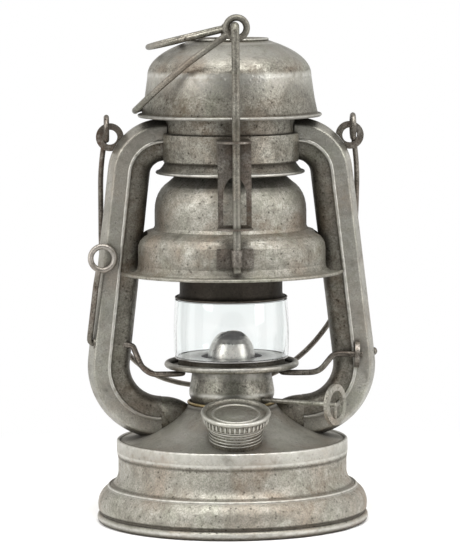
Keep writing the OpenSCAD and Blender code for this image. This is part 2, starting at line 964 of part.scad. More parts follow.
module wick_wheels() {
    color([0.60, 0.48, 0.26])
        on_shaft()
            for (s = [-1, 1])
                translate([0, 0, s * 3 - 1])
                    difference() {
                        cylinder(r = wheel_r, h = 2, $fn = 12);
                        translate([0, 0, -1])
                            cylinder(d = shaft_d, h = 4);
                    }
}

module globe_dish() {
    plate_z = dish_z - dish_wire + 0.1;
    color([0.50, 0.48, 0.45])
        rotate_extrude() {
            translate([dish_r, dish_z])
                circle(r = dish_wire);
            translate([gallery_r - 3.8, plate_z])
                square([dish_r - gallery_r + 3.8, sheet]);
            translate([gallery_r - sheet, plate_z])
                square([sheet, disc_z - sheet - plate_z]);
        }
}

module globe_disc() {
    color([0.80, 0.79, 0.76])
        difference() {
            translate([0, 0, disc_z - sheet])
                cylinder(r = disc_r, h = sheet);
            translate([0, 0, disc_z - 5])
                cylinder(r = disc_hole_r, h = 10);
        }
}

module globe() {
    g = globe_h;
    p = concat(
        [[globe_r - 0.8, disc_z]],
        bez([globe_r - 0.7, disc_z + g * 0.08], [globe_r + 0.8, disc_z + g * 0.5], [globe_r - 1.3, disc_z + g * 0.88], 8),
        [[globe_r - 1.8, disc_z + g]]
    );
    color([0.85, 0.92, 0.95, 0.35])
        rotate_extrude()
            polygon(band_of(p, glass_t));
}

// Outline of the bell from its flange to the top of its neck.
function bell_path() = concat(
    [[bell_flange_r - 0.4, bell_z], [step_r + 2.4, bell_z + 0.9], [step_r + 0.6, bell_z + 2.2]],
    [[step_r, bell_z + 4.4]],
    bez([step_r, step_z - 9], [step_r, step_z - 2.6], [bell_r + 3.4, step_z - 0.4], 5),
    [[bell_r + 0.9, step_z + 0.3], [bell_r, step_z + 2]],
    bez([bell_r, step_z + 9.5], [bell_r, neck_z - 7.5], [bell_neck_r + 4.4, neck_z - 2.6], 6),
    [[bell_neck_r + 1, neck_z + 0.4], [bell_neck_r, neck_z + 2.4], [bell_neck_r, neck_top]]
);

module bell_solid() {
    rotate_extrude()
        polygon(concat(bell_path(), [[0, neck_top], [0, bell_z]]));
}

module pocket(grow) {
    both()
        translate([pocket_x - grow, -pocket_y - grow, bell_z - 5])
            cube([30, 2 * pocket_y + 2 * grow, 30]);
}

module bell() {
    color([0.55, 0.53, 0.50]) {
        difference() {
            rotate_extrude() {
                polygon(band_of(bell_path(), sheet));
                translate([bell_flange_r - flange_bead, bell_z])
                    circle(r = flange_bead);
            }
            pocket(0);
        }
        intersection() {
            bell_solid();
            difference() {
                pocket(sheet);
                pocket(0);
            }
        }
    }
}

module chimney_tube() {
    p = [
        [lip_r - 0.3, lip_z + 0.5], [chimney_r + 0.8, lip_z + 1.2],
        [chimney_r, lip_z + 2.6], [chimney_r, neck_z + 10]
    ];
    color([0.20, 0.16, 0.13])
        rotate_extrude() {
            polygon(band_of(p, sheet));
            translate([lip_r - 0.6, lip_z + 0.6])
                circle(r = 0.6);
        }
}

module rod_clip() {
    color([0.50, 0.47, 0.43])
        difference() {
            union() {
                intersection() {
                    translate([0, 0, clip_z])
                        cylinder(r = step_r + 1, h = clip_h);
                    translate([-clip_w / 2, -step_r - 5, clip_z])
                        cube([clip_w, step_r, clip_h]);
                }
                translate([rod_x, -rod_y, clip_z + 1.1])
                    cylinder(r = rod_d / 2 + 0.9, h = clip_h - 1.6);
            }
            translate([0, 0, clip_z - 5])
                cylinder(r = step_r, h = 30);
            translate([rod_x, -rod_y, clip_z - 5])
                cylinder(d = rod_d, h = 30);
        }
}

module front_rod() {
    color([0.52, 0.50, 0.47])
        union() {
            rod([rod_x, -rod_y, rod_low], [rod_x, -rod_y, rod_top + rod_d / 2], rod_d);
            rod([rod_x, -rod_y, rod_top], [rod_x, -top_eye_y + 4, rod_top], rod_d * 0.985);
        }
}

module top_wire() {
    ex = rod_x + 0.8;
    color([0.50, 0.48, 0.45]) {
        translate([ex, -top_eye_y, top_eye_z])
            rotate([90, 0, 0])
                wire_ring(top_eye_r, top_wire_d, 12);
        wire([
            [ex - top_eye_r * 0.8, -top_eye_y, top_eye_z - top_eye_r * 0.6],
            [-22.6, -42, 240.5], [-38, -34, 227], [-48.6, -25.5, 216.5], [-49.4, -13, 214.9],
            [-48.6, 0, 214.8], [-46.4, 14, 214.8], [-40.6, 27, 214.8]
        ], top_wire_d, 12);
    }
}

function bail_pt(x, s) = [
    x,
    bail_ring_r * cos(bail_lean) + s * sin(bail_lean),
    bail_z + bail_ring_r * sin(bail_lean) - s * cos(bail_lean)
];

module bail() {
    b = bail_len - 152.5;
    k = bail_x + 3.2;
    color([0.46, 0.42, 0.39]) {
        both()
            translate([bail_x, 0, bail_z])
                rotate([0, 90, 0])
                    wire_ring(bail_ring_r, bail_d, 13);
        wire([
            bail_pt(-bail_x, 0), bail_pt(-k, 26), bail_pt(-k, 70), bail_pt(-k + 1.2, 95 + b),
            bail_pt(-k + 5.2, 116 + b), bail_pt(-k + 14, 134 + b), bail_pt(-39, 146 + b), bail_pt(-22, 151.6 + b),
            bail_pt(-3, 152.5 + b), bail_pt(14, 150 + b), bail_pt(30, 143 + b), bail_pt(44, 130.5 + b),
            bail_pt(55, 115 + b), bail_pt(k - 4.5, 97 + b), bail_pt(k - 0.8, 76), bail_pt(k, 50),
            bail_pt(k, 26), bail_pt(bail_x, 0)
        ], bail_d, 13);
    }
}

// Points of the bow behind the burner, from right to left.
function bow_pt(i) = [lifter_bow * cos(-20 + 20 * i), lifter_bow * sin(-20 + 20 * i), bow_z];

// Points of the lifter wire from its eye, around the burner and up to the lever loop.
function lifter_path() =
    let (y = along_lift(0)[1] - 1.5)
    concat(
        [along_lift(right_x + 1.5), along_lift(52.6), [46, y - 0.6, bow_z + 1.6]],
        [[42, y - 0.3, bow_z], [31, y, bow_z]],
        [for (i = [0 : 11]) bow_pt(i)],
        [[-31, y, bow_z], [-42, y - 0.3, bow_z], [-47, y + 0.6, bow_z + 3.5]],
        [[-50.6, -lifter_left_y - 1.2, lifter_left_z - 4], along_lift(-51.6), along_lift(left_x)],
        [[-73.4, -9.4, 101], [-72, -11, 112], [-70.4, -12.6, 125]],
        [[lever_x + lever_loop * cos(-110), lever_y, lever_z + lever_loop * sin(-110)]]
    );

module globe_lifter() {
    color([0.46, 0.40, 0.36])
        union() {
            wire(lifter_path(), lifter_d, 14);
            translate([lever_x, lever_y, lever_z])
                rotate([90, 0, 0])
                    wire_ring(lever_loop, lifter_d, 14);
        }
}

module lifter_bush() {
    color([0.44, 0.38, 0.34])
        difference() {
            aim(along_lift(left_x + 2.4), along_lift(-66))
                cylinder(r = lifter_d / 2 + 1.7, h = 4);
            lift_bore(lifter_d / 2 + run);
        }
}

module lifter_eye() {
    color([0.48, 0.44, 0.40])
        difference() {
            aim(along_lift(eye_x - 1.2), along_lift(eye_x + 1.2))
                cylinder(r = eye_r, h = 2.4);
            aim(along_lift(50), along_lift(80))
                cylinder(r = lifter_d / 2 + run, h = 40);
            along_tube()
                full_section();
            along_tube()
                outer_section();
        }
}

module lifter_rivet() {
    a = along_lift(eye_x);
    color([0.48, 0.44, 0.40])
        difference() {
            translate([tube_foot_x + tube_half - 0.9, 0, a[2]])
                sphere(r = 2.2);
            along_tube()
                full_section();
        }
}

fount_shell();
fount_bottom();
fount_top();
burner_collar();
filler_neck();
filler_cap();
cap_seal();
left_tube_outer();
left_tube_inner();
right_tube_outer();
right_tube_inner();
left_ear();
right_ear();
air_chamber();
collar_band();
guide_bracket();
hood();
hood_baffle();
crown_plate();
ring_lug();
hood_ring();
burner_body();
burner_deck();
burner_cone();
wick_tube();
wick();
wick_shaft();
wick_wheels();
globe_dish();
globe_disc();
globe();
bell();
chimney_tube();
rod_clip();
front_rod();
top_wire();
bail();
globe_lifter();
lifter_bush();
lifter_eye();
lifter_rivet();
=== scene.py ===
# %% [markdown]
# # A hurricane lantern, piece by piece
# A hurricane lantern burns oil in a glass globe and stays alight in wind, because its two side tubes
# carry warmed air from the hood down to the burner. Each sheet-metal piece is spun, pressed or folded
# from thin tin plate, so most of the model is made by turning a profile or by sweeping a section.
# The frame below holds the exact solids; every finished piece is laid over them, in metres.

# %% Load the frame
import math

import bmesh
import bpy
from mathutils import Matrix, Vector, noise


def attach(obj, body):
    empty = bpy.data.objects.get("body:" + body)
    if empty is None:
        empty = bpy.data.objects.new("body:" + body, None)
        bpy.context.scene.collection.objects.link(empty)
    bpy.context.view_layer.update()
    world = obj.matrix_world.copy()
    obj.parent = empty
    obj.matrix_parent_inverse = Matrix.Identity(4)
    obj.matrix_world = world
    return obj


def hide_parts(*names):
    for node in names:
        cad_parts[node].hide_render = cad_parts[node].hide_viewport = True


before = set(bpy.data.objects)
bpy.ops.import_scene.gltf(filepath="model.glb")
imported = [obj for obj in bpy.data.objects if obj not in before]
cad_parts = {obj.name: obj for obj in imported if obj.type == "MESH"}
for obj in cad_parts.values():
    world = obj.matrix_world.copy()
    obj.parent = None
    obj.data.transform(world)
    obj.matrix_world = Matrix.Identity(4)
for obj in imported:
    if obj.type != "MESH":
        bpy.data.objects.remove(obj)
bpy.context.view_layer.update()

# %% [markdown]
# ## Tools for thin metal
# A spun piece is one profile turned about the lantern's axis. The profile is drawn in millimetres as
# points of radius and height, and a second line one sheet thickness inside closes it into a shell,
# so that every edge has the thickness of real plate.

# %% Profiles
MM = 0.001
SHEET = 0.8


def bez(a, b, c, n):
    """n + 1 points of a curve that leaves a toward b and reaches c."""
    out = []
    for i in range(n + 1):
        t = i / n
        w = ((1 - t) ** 2, 2 * t * (1 - t), t * t)
        out.append(tuple(w[0] * p + w[1] * q + w[2] * r for p, q, r in zip(a, b, c)))
    return out


def offset(path, t):
    """The path moved to its left by t, with mitred corners."""
    pts = [Vector(p) for p in path]
    left = []
    for a, b in zip(pts, pts[1:]):
        d = (b - a).normalized()
        left.append(Vector((-d.y, d.x)))
    out = []
    for i, p in enumerate(pts):
        if i == 0:
            m = left[0]
        elif i == len(pts) - 1:
            m = left[-1]
        else:
            m = (left[i - 1] + left[i]) / (1 + left[i - 1].dot(left[i]))
        out.append(tuple(p + t * m))
    return out


def band(path, t=SHEET):
    """A closed outline: the path, and back along its inside."""
    return list(path) + offset(path, t)[::-1]


def ring(cx, cy, r, n=18):
    """A closed round outline, such as a rolled wire edge."""
    angles = [2 * math.pi * i / n for i in range(n)]
    return [(cx + r * math.cos(a), cy + r * math.sin(a)) for a in angles]


def soften(path, cut, n=4):
    """Rounds each corner of a line of points by a short curve that starts cut before it."""
    pts = [Vector(p) for p in path]
    out = [tuple(pts[0])]
    for a, p, b in zip(pts, pts[1:], pts[2:]):
        u = min(cut, 0.45 * (p - a).length) * (a - p).normalized()
        v = min(cut, 0.45 * (b - p).length) * (b - p).normalized()
        out += bez(tuple(p + u), tuple(p), tuple(p + v), n)
    return out + [tuple(pts[-1])]


print("profile tools ready, sheet thickness", SHEET, "mm")

# %% [markdown]
# Wear on a real lantern follows its shape: rims and seams are rubbed bright, and corners that a
# cloth can't reach keep soot and old oil. Two numbers stored on each point tell the metal where to
# lighten and darken. The first marks rubbed rims and seams and also broad painted highlights; the
# second marks dirt and also painted shade in creases and under brims. So the same material suits
# every piece.

# %% Finished pieces
def near(r, z, spots):
    """How strongly circles about the axis mark a point, from 0 to 1."""
    marked = [0.0]
    for a, b, reach, *strength in spots:
        close = max(0.0, 1 - math.hypot(r - a, z - b) / reach)
        marked.append(close * (strength[0] if strength else 1.0))
    return max(marked)


def marks(wear_and_sheen=(), grime_and_shade=()):
    """Wear and painted highlights, grime and painted shade, near circles of radius, height and reach in mm,
    with a strength where it is under 1.
    """
    return lambda v: tuple(near(math.hypot(v.x, v.y), v.z, spots) for spots in (wear_and_sheen, grime_and_shade))


def finished(name, verts, faces, look, body, nodes, at=None, crease=35.0):
    """Makes a mesh of points in mm, paints its wear, dirt and painted light, and lets it ride on its body.
    """
    mesh = bpy.data.meshes.new(name)
    mesh.from_pydata([tuple(MM * c for c in v) for v in verts], [], faces)
    bm = bmesh.new()
    bm.from_mesh(mesh)
    bmesh.ops.remove_doubles(bm, verts=bm.verts, dist=2e-6)
    bmesh.ops.recalc_face_normals(bm, faces=bm.faces)
    bm.to_mesh(mesh)
    bm.free()
    return dress(mesh, name, look, body, nodes, at, crease)


def dress(mesh, name, look, body, nodes, at=None, crease=35.0):
    """Gives a mesh its wear, dirt and painted light, its shading and material, and puts it in the frame."""
    wear_and_sheen = mesh.attributes.new("wear_and_sheen", "FLOAT", "POINT")
    grime_and_shade = mesh.attributes.new("grime_and_shade", "FLOAT", "POINT")
    if isinstance(at, list):
        pairs = at
    else:
        pairs = [at(v.co / MM) if at else (0.0, 0.0) for v in mesh.vertices]
    wear_and_sheen.data.foreach_set("value", [p[0] for p in pairs])
    grime_and_shade.data.foreach_set("value", [p[1] for p in pairs])
    mesh.shade_smooth()
    mesh.set_sharp_from_angle(angle=math.radians(crease))
    mesh.materials.clear()
    mesh.materials.append(look)
    obj = bpy.data.objects.new(name, mesh)
    bpy.context.scene.collection.objects.link(obj)
    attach(obj, body)
    if nodes:
        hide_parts(*nodes)
    print(name, "on", body, "with", len(mesh.polygons), "faces")
    return obj


def turned(loops, turns=168, dent=0.0, start=0):
    """Points and faces of closed outlines turned about Z, with dents pressed in by at most dent mm."""
    verts, faces = [], []
    for loop in loops:
        base, n = len(verts), len(loop)
        for k in range(turns):
            a = 2 * math.pi * k / turns
            for r, z in loop:
                p = Vector((r * math.cos(a), r * math.sin(a), z))
                q = 0.5 + 0.5 * noise.noise(p * 0.055 + Vector((start, 3.1, 7.7)))
                s = max(0.0, r - dent * q * q) / r if r > 1e-6 else 0.0
                verts.append((p.x * s, p.y * s, p.z))
        for k in range(turns):
            here, there = base + k * n, base + (k + 1) % turns * n
            for i in range(n):
                j = (i + 1) % n
                faces.append((here + i, there + i, there + j, here + j))
    return verts, faces


def spun(name, loops, look, body, nodes, wear_and_sheen=(), grime_and_shade=(), dent=0.0, place=None, crease=35.0):
    """A turned piece. place moves it off the axis."""
    verts, faces = turned(loops, dent=dent, start=len(name))
    at = marks(wear_and_sheen, grime_and_shade)
    if place:
        back = place.inverted()
        verts = [tuple(place @ Vector(v)) for v in verts]
        inner = at
        at = lambda v: inner(back @ v)
    return finished(name, verts, faces, look, body, nodes, at, crease)


print("piece tools ready")

# %% [markdown]
# ## Materials
# Old tin plate isn't one grey. The tin is mottled where it has oxidised, brown where the steel shows
# through, and pitted by rust. Each of these has its own size, so each is its own texture in object
# coordinates: stains of about 45 mm, warm and cool patches of 26 mm, mottling of 13 mm, flecks of
# 4 mm, pits of 2 mm and a grain under 1 mm.

# %% Node helpers
def feed(tree, socket, value):
    """Links an output to an input, or sets the input to a constant."""
    if hasattr(value, "is_linked"):
        tree.links.new(value, socket)
    else:
        socket.default_value = value


def put(tree, kind, **sockets):
    """Adds a shader node and feeds its inputs by name."""
    node = tree.nodes.new(kind)
    for key, value in sockets.items():
        feed(tree, node.inputs[key], value)
    return node


def mix(tree, factor, a, b):
    """Mixes two colours."""
    node = tree.nodes.new("ShaderNodeMix")
    node.data_type = "RGBA"
    for socket, value in ((node.inputs[0], factor), (node.inputs[6], a), (node.inputs[7], b)):
        feed(tree, socket, value)
    return node.outputs[2]


def calc(tree, how, a, b=0.0, c=0.0):
    """One arithmetic step."""
    node = tree.nodes.new("ShaderNodeMath")
    node.operation = how
    for socket, value in zip(node.inputs, (a, b, c)):
        feed(tree, socket, value)
    return node.outputs[0]


def ramp(tree, value, stops):
    """A colour ramp through (place, colour) stops."""
    node = tree.nodes.new("ShaderNodeValToRGB")
    tree.links.new(value, node.inputs[0])
    bar = node.color_ramp
    while len(bar.elements) < len(stops):
        bar.elements.new(0.5)
    for element, (place, colour) in zip(bar.elements, stops):
        element.position = place
        element.color = colour if len(colour) == 4 else (*colour, 1.0)
    return node.outputs[0]


def step(tree, value, low, high, a=0.0, b=1.0):
    """Maps low..high of a value to a..b, clamped."""
    node = put(tree, "ShaderNodeMapRange", Value=value)
    for key, number in (("From Min", low), ("From Max", high), ("To Min", a), ("To Max", b)):
        node.inputs[key].default_value = number
    return node.outputs[0]


def speckle(tree, place, size, detail=5.0, rough=0.6, warp=0.0):
    """Noise with features of about size in metres."""
    node = put(tree, "ShaderNodeTexNoise", Vector=place, Scale=1 / size, Detail=detail, Roughness=rough)
    node.inputs["Distortion"].default_value = warp
    return node.outputs[0]


def stored(tree, name):
    """A number stored on the mesh."""
    node = tree.nodes.new("ShaderNodeAttribute")
    node.attribute_name = name
    return node.outputs["Fac"]


def blank(name):
    """A new material with its tree, its object coordinates and a plain shader."""
    material = bpy.data.materials.new(name)
    material.use_nodes = True
    tree = material.node_tree
    tree.nodes.clear()
    shader = tree.nodes.new("ShaderNodeBsdfPrincipled")
    out = tree.nodes.new("ShaderNodeOutputMaterial")
    tree.links.new(shader.outputs[0], out.inputs[0])
    place = tree.nodes.new("ShaderNodeTexCoord").outputs["Object"]
    return material, tree, shader, place


print("node helpers ready")

# %% [markdown]
# One recipe makes all the metals. It starts from a mottled colour with warm and cool patches, lays
# stains and pits over it, then lightens the worn places, painted highlights among them, and darkens
# the grimy ones. Dirt and painted shade share one mask there, and an ambient occlusion test paints
# shade into every nook. Roughness follows the same masks, and the grain and pits also press in as bump.

# %% Metals
PIT = (0.04, 0.034, 0.028, 1.0)
# The darkening colour stands for dirt and for painted shade together.
DIRT_AND_SHADE = (0.04, 0.031, 0.022, 1.0)
WARM = (0.92, 0.76, 0.68)
COOL = (0.86, 0.95, 0.84)


def tinted(tone, tint):
    """A tone shifted by a tint, with full opacity."""
    return tuple(a * b for a, b in zip(tone, tint)) + (1.0,)


def metal(name, tones, stain, stain_part, rough, metallic, polish_and_sheen, pit_part=0.75, bump=0.45):
    """A worn metal. tones are its dark, middle and light colours, stain its rust colour."""
    material, tree, shader, place = blank(name)
    mottle = speckle(tree, place, 0.013, 9.0, 0.7, 0.7)
    cloud = speckle(tree, place, 0.045, 4.0, 0.55, 0.9)
    grain = speckle(tree, place, 0.0009, 3.0, 0.75)
    fleck = speckle(tree, place, 0.0036, 5.0, 0.75)
    cells = put(tree, "ShaderNodeTexVoronoi", Vector=place, Scale=430.0).outputs["Distance"]
    spots = calc(tree, "MULTIPLY", step(tree, cells, 0.10, 0.36, 1.0, 0.0), step(tree, fleck, 0.48, 0.58))
    # Painted shade: an ambient occlusion test darkens nooks, creases and joints through the grime mask.
    nook = put(tree, "ShaderNodeAmbientOcclusion", Distance=0.009)
    nook.samples = 6
    nook_shade = step(tree, nook.outputs["AO"], 0.3, 0.85, 1.0, 0.0)
    wear_and_sheen = calc(tree, "MULTIPLY", stored(tree, "wear_and_sheen"), step(tree, fleck, 0.3, 0.56))
    grime_and_shade = calc(tree, "MAXIMUM", stored(tree, "grime_and_shade"), calc(tree, "MULTIPLY", nook_shade, 0.95))
    grime_and_shade = calc(tree, "MULTIPLY", grime_and_shade, step(tree, mottle, 0.25, 0.6, 0.5, 1.0))
    base = ramp(tree, mottle, [(0.3, tones[0]), (0.5, tones[1]), (0.72, tones[2])])
    hue = speckle(tree, place, 0.026, 3.0, 0.5, 0.6)
    base = mix(tree, step(tree, hue, 0.52, 0.7, 0.0, 0.6), base, tinted(tones[1], WARM))
    base = mix(tree, step(tree, hue, 0.3, 0.48, 0.5, 0.0), base, tinted(tones[1], COOL))
    base = mix(tree, step(tree, fleck, 0.42, 0.66, 0.0, 0.55), base, tones[0] + (1.0,))
    base = mix(tree, step(tree, grain, 0.42, 0.66, 0.0, 0.7), base, tones[0] + (1.0,))
    rust = calc(tree, "MULTIPLY", step(tree, cloud, 0.5, 0.7, 0.0, stain_part), step(tree, fleck, 0.32, 0.6))
    base = mix(tree, rust, base, stain + (1.0,))
    base = mix(tree, calc(tree, "MULTIPLY", spots, pit_part), base, PIT)
    # Worn places turn towards the polish colour, and broad wear patches paint a highlight the same way.
    base = mix(tree, calc(tree, "MULTIPLY", wear_and_sheen, 0.8), base, polish_and_sheen + (1.0,))
    base = mix(tree, calc(tree, "MULTIPLY", grime_and_shade, 0.9), base, DIRT_AND_SHADE)
    tree.links.new(base, shader.inputs["Base Color"])
    level = step(tree, mottle, 0.25, 0.75, rough + 0.1, rough - 0.1)
    level = calc(tree, "MULTIPLY_ADD", spots, 0.25, level)
    level = calc(tree, "MULTIPLY_ADD", wear_and_sheen, -0.1, level)
    level = calc(tree, "MULTIPLY_ADD", grime_and_shade, 0.25, level)
    tree.links.new(level, shader.inputs["Roughness"])
    shader.inputs["Metallic"].default_value = metallic
    height = calc(tree, "MULTIPLY_ADD", spots, -0.8, calc(tree, "MULTIPLY", grain, 0.4))
    height = calc(tree, "MULTIPLY_ADD", fleck, 0.8, height)
    relief = put(tree, "ShaderNodeBump", Height=height, Strength=bump, Distance=0.0004)
    tree.links.new(relief.outputs[0], shader.inputs["Normal"])
    return material


old_tin = metal("old_tin", ((0.10, 0.093, 0.076), (0.33, 0.317, 0.27), (0.56, 0.543, 0.475)),
                (0.15, 0.092, 0.05), 0.5, 0.4, 0.92, (0.68, 0.67, 0.62))
pale_tin = metal("pale_tin", ((0.18, 0.17, 0.14), (0.40, 0.385, 0.335), (0.57, 0.553, 0.495)),
                 (0.24, 0.15, 0.085), 0.45, 0.5, 0.9, (0.74, 0.73, 0.68), 0.6, 0.5)
bright_tin = metal("bright_tin", ((0.46, 0.45, 0.42), (0.64, 0.63, 0.60), (0.76, 0.75, 0.72)),
                   (0.40, 0.33, 0.25), 0.3, 0.3, 0.92, (0.8, 0.79, 0.77), 0.2, 0.12)
brown_steel = metal("brown_steel", ((0.07, 0.06, 0.05), (0.22, 0.20, 0.172), (0.43, 0.405, 0.365)),
                    (0.13, 0.07, 0.04), 0.6, 0.42, 0.9, (0.6, 0.57, 0.52))
sooted_steel = metal("sooted_steel", ((0.02, 0.017, 0.013), (0.05, 0.043, 0.034), (0.10, 0.086, 0.07)),
                     (0.08, 0.048, 0.028), 0.6, 0.5, 0.6, (0.16, 0.14, 0.115), 0.5, 0.3)
burner_brass = metal("burner_brass", ((0.20, 0.145, 0.07), (0.40, 0.30, 0.14), (0.56, 0.45, 0.24)),
                     (0.14, 0.085, 0.04), 0.5, 0.38, 0.9, (0.68, 0.57, 0.32), 0.4, 0.2)
print("metals ready")

# %% [markdown]
# The globe is moulded glass, so its surface waves slightly and its edges look darker and greener
# than its face. The wick is a flat woven cotton tape, charred at its tip, and the seal under the
# cap is oiled cork.

# %% Globe glass
globe_glass, tree, shader, place = blank("globe_glass")
smear = speckle(tree, place, 0.03, 3.0, 0.5, 0.4)
clear = ramp(tree, smear, [(0.3, (0.93, 0.965, 0.96)), (0.7, (0.985, 0.995, 0.99))])
tree.links.new(clear, shader.inputs["Base Color"])
tree.links.new(step(tree, smear, 0.45, 0.8, 0.012, 0.06), shader.inputs["Roughness"])
shader.inputs["Transmission Weight"].default_value = 1.0
shader.inputs["IOR"].default_value = 1.48
wave = put(tree, "ShaderNodeBump", Height=speckle(tree, place, 0.02, 1.0), Strength=0.06, Distance=0.0006)
tree.links.new(wave.outputs[0], shader.inputs["Normal"])
print("glass ready")

# %% Wick cotton
cotton_wick, tree, shader, place = blank("cotton_wick")
split = put(tree, "ShaderNodeSeparateXYZ", Vector=place)
rows = put(tree, "ShaderNodeTexWave", Vector=place, Scale=300.0, Distortion=0.6)
rows.bands_direction = "Z"
ends = put(tree, "ShaderNodeTexWave", Vector=place, Scale=260.0, Distortion=0.6)
ends.bands_direction = "X"
weave = calc(tree, "MULTIPLY", rows.outputs["Fac"], ends.outputs["Fac"])
cloth = ramp(tree, weave, [(0.1, (0.34, 0.29, 0.21)), (0.7, (0.72, 0.67, 0.55))])
burnt = step(tree, split.outputs["Z"], 0.086, 0.0925)
burnt = calc(tree, "MULTIPLY_ADD", speckle(tree, place, 0.002), 0.2, burnt)
tree.links.new(mix(tree, burnt, cloth, (0.02, 0.016, 0.013, 1.0)), shader.inputs["Base Color"])
tree.links.new(step(tree, weave, 0.0, 1.0, 0.95, 0.8), shader.inputs["Roughness"])
woven = put(tree, "ShaderNodeBump", Height=weave, Strength=0.6, Distance=0.0003)
tree.links.new(woven.outputs[0], shader.inputs["Normal"])
print("cotton ready")

# %% Cork
cork_seal, tree, shader, place = blank("cork_seal")
crumb = speckle(tree, place, 0.0016, 5.0, 0.7)
oiled = ramp(tree, crumb, [(0.3, (0.09, 0.055, 0.03)), (0.7, (0.27, 0.18, 0.10))])
tree.links.new(oiled, shader.inputs["Base Color"])
tree.links.new(step(tree, crumb, 0.3, 0.7, 0.9, 0.65), shader.inputs["Roughness"])
crumbs = put(tree, "ShaderNodeBump", Height=crumb, Strength=0.5, Distance=0.0003)
tree.links.new(crumbs.outputs[0], shader.inputs["Normal"])
print("cork ready")

# %% [markdown]
# ## The fount
# The oil tank is two spun cups: a drum that flares to a broad foot, rolled over a wire at the
# bottom, and a dome seamed into the drum's rim. The rolled edges stiffen the thin plate and are the
# first places to be rubbed bright, while the creases are darkened with dirt and painted shade.

# %% Fount drum
SEAM_Z = 42.1
CREASE = (64.8, 18.4)
FLARE_TOP = (59.8, 26.0)
foot = [(69.3, 4.4), (69.1, 5.3), (69.5, 5.9), (70.3, 6.8)]
foot += bez((70.5, 9.25), (69.9, 15.9), CREASE, 14)
foot += bez(CREASE, (60.2, 21.0), FLARE_TOP, 8)[1:]
foot += soften([FLARE_TOP, (59.8, 33.0), (60.4, 36.0), (60.4, SEAM_Z)], 1.2)[1:]
rolls = [ring(68.5, 2.45, 2.45, 24), ring(59.5, SEAM_Z, 0.9), ring(64.6, 18.5, 0.75)]
# The bead at the crease is rubbed bright and carries a painted highlight, and the groove above it is
# darkened as painted shadow.
spun("fount_drum", [band(foot)] + rolls, pale_tin, "lantern", ["fount_shell"],
     wear_and_sheen=[(59.9, 42.7, 2.2), (71.0, 2.6, 1.6), (65.3, 18.6, 1.2), (60.4, 36.4, 1.2)],
     grime_and_shade=[(63.0, 19.6, 1.4), (69.3, 5.4, 1.5), (60.2, 34.2, 1.1)], dent=0.35)
spun("fount_floor", [[(0.0, 5.1), (69.6, 5.1), (69.6, 5.9), (0.0, 5.9)]], old_tin, "lantern",
     ["fount_bottom"], grime_and_shade=[(69.0, 5.4, 8.0)])

# %% [markdown]
# The dome rises to the burner opening. Each tube ends in a pressed swelling that spreads the joint
# over the thin top, so the lantern can be carried by its tubes without tearing them out.

# %% Fount dome
SWELL_X, SWELL_Z = 37.0, 54.2
SWELL_LEN, SWELL_R = 17.5, 10.85
dome = [(58.6, SEAM_Z)] + bez((57.5, 42.6), (43.0, 43.6), (22.9, 61.0), 26)


def swelling(side, turns=48, rows=16):
    """Half of a long ball that closes the foot of a tube, in mm."""
    verts, faces = [], []
    for i in range(rows + 1):
        t = math.pi / 2 * i / rows
        for k in range(turns):
            a = 2 * math.pi * k / turns
            r = SWELL_R * math.sin(t)
            x = SWELL_X - SWELL_LEN * math.cos(t)
            verts.append((side * x, r * math.cos(a), SWELL_Z + r * math.sin(a)))
    for i in range(rows):
        for k in range(turns):
            m = (k + 1) % turns
            faces.append((i * turns + k, i * turns + m, (i + 1) * turns + m, (i + 1) * turns + k))
    faces.append(tuple(rows * turns + k for k in range(turns)))
    return verts, faces


left, skin = swelling(-1)
right, more = swelling(1)
skin += [tuple(i + len(left) for i in f) for f in more]
# The dome's broad bright patch is a painted highlight, and its edge by the opening is rubbed bright. It
# darkens at the seam and by the opening.
spun("fount_dome", [band(dome)], pale_tin, "lantern", ["fount_top"],
     wear_and_sheen=[(23.5, 60.8, 2.5), (42.0, 48.0, 22.0, 0.6)],
     grime_and_shade=[(58.6, 42.2, 2.2), (24.4, 59.6, 1.8)], dent=0.25)
finished("tube_swellings", left + right, skin, old_tin, "lantern", [], lambda v: (0.0, 0.3))
collar = [[(21.25, 57.0), (22.05, 57.0), (22.05, 61.9), (21.25, 61.9)], ring(22.6, 61.9, 0.8)]
spun("burner_seat", collar, burner_brass, "lantern", ["burner_collar"],
     wear_and_sheen=[(22.9, 62.5, 1.0)], grime_and_shade=[(22.9, 61.0, 1.0)])

# %% [markdown]
# ## Filler neck and cap
# Oil goes in through a threaded neck that leans forward. The cap is turned with a deep recess, a
# rolled rim and a skirt of ribs for the fingers. The ribs repeat, so Geometry Nodes makes one and
# sets it around a circle; the count and sizes are inputs, and the result becomes a plain mesh.

# %% Ribs around a circle
def plain(obj, name):
    """The evaluated mesh of an object, which is then removed."""
    graph = bpy.context.evaluated_depsgraph_get()
    mesh = bpy.data.meshes.new_from_object(obj.evaluated_get(graph))
    mesh.name = name
    bpy.data.objects.remove(obj)
    return mesh


def grown(name, verts, edges, group, values):
    """Runs a node group over a line drawing of points in mm and returns the plain mesh."""
    mesh = bpy.data.meshes.new(name + "_line")
    mesh.from_pydata([tuple(MM * c for c in v) for v in verts], edges, [])
    obj = bpy.data.objects.new(name + "_line", mesh)
    bpy.context.scene.collection.objects.link(obj)
    modifier = obj.modifiers.new("grow", "NODES")
    modifier.node_group = group
    for item in group.interface.items_tree:
        if item.in_out == "INPUT" and item.name in values:
            modifier[item.identifier] = values[item.name]
    return plain(obj, name)


def group_of(name, inputs):
    """An empty node group with a geometry input and output and the named inputs."""
    group = bpy.data.node_groups.new(name, "GeometryNodeTree")
    group.interface.new_socket("Geometry", in_out="INPUT", socket_type="NodeSocketGeometry")
    for label, kind in inputs:
        group.interface.new_socket(label, in_out="INPUT", socket_type="NodeSocket" + kind)
    group.interface.new_socket("Geometry", in_out="OUTPUT", socket_type="NodeSocketGeometry")
    return group, group.nodes.new("NodeGroupInput"), group.nodes.new("NodeGroupOutput")


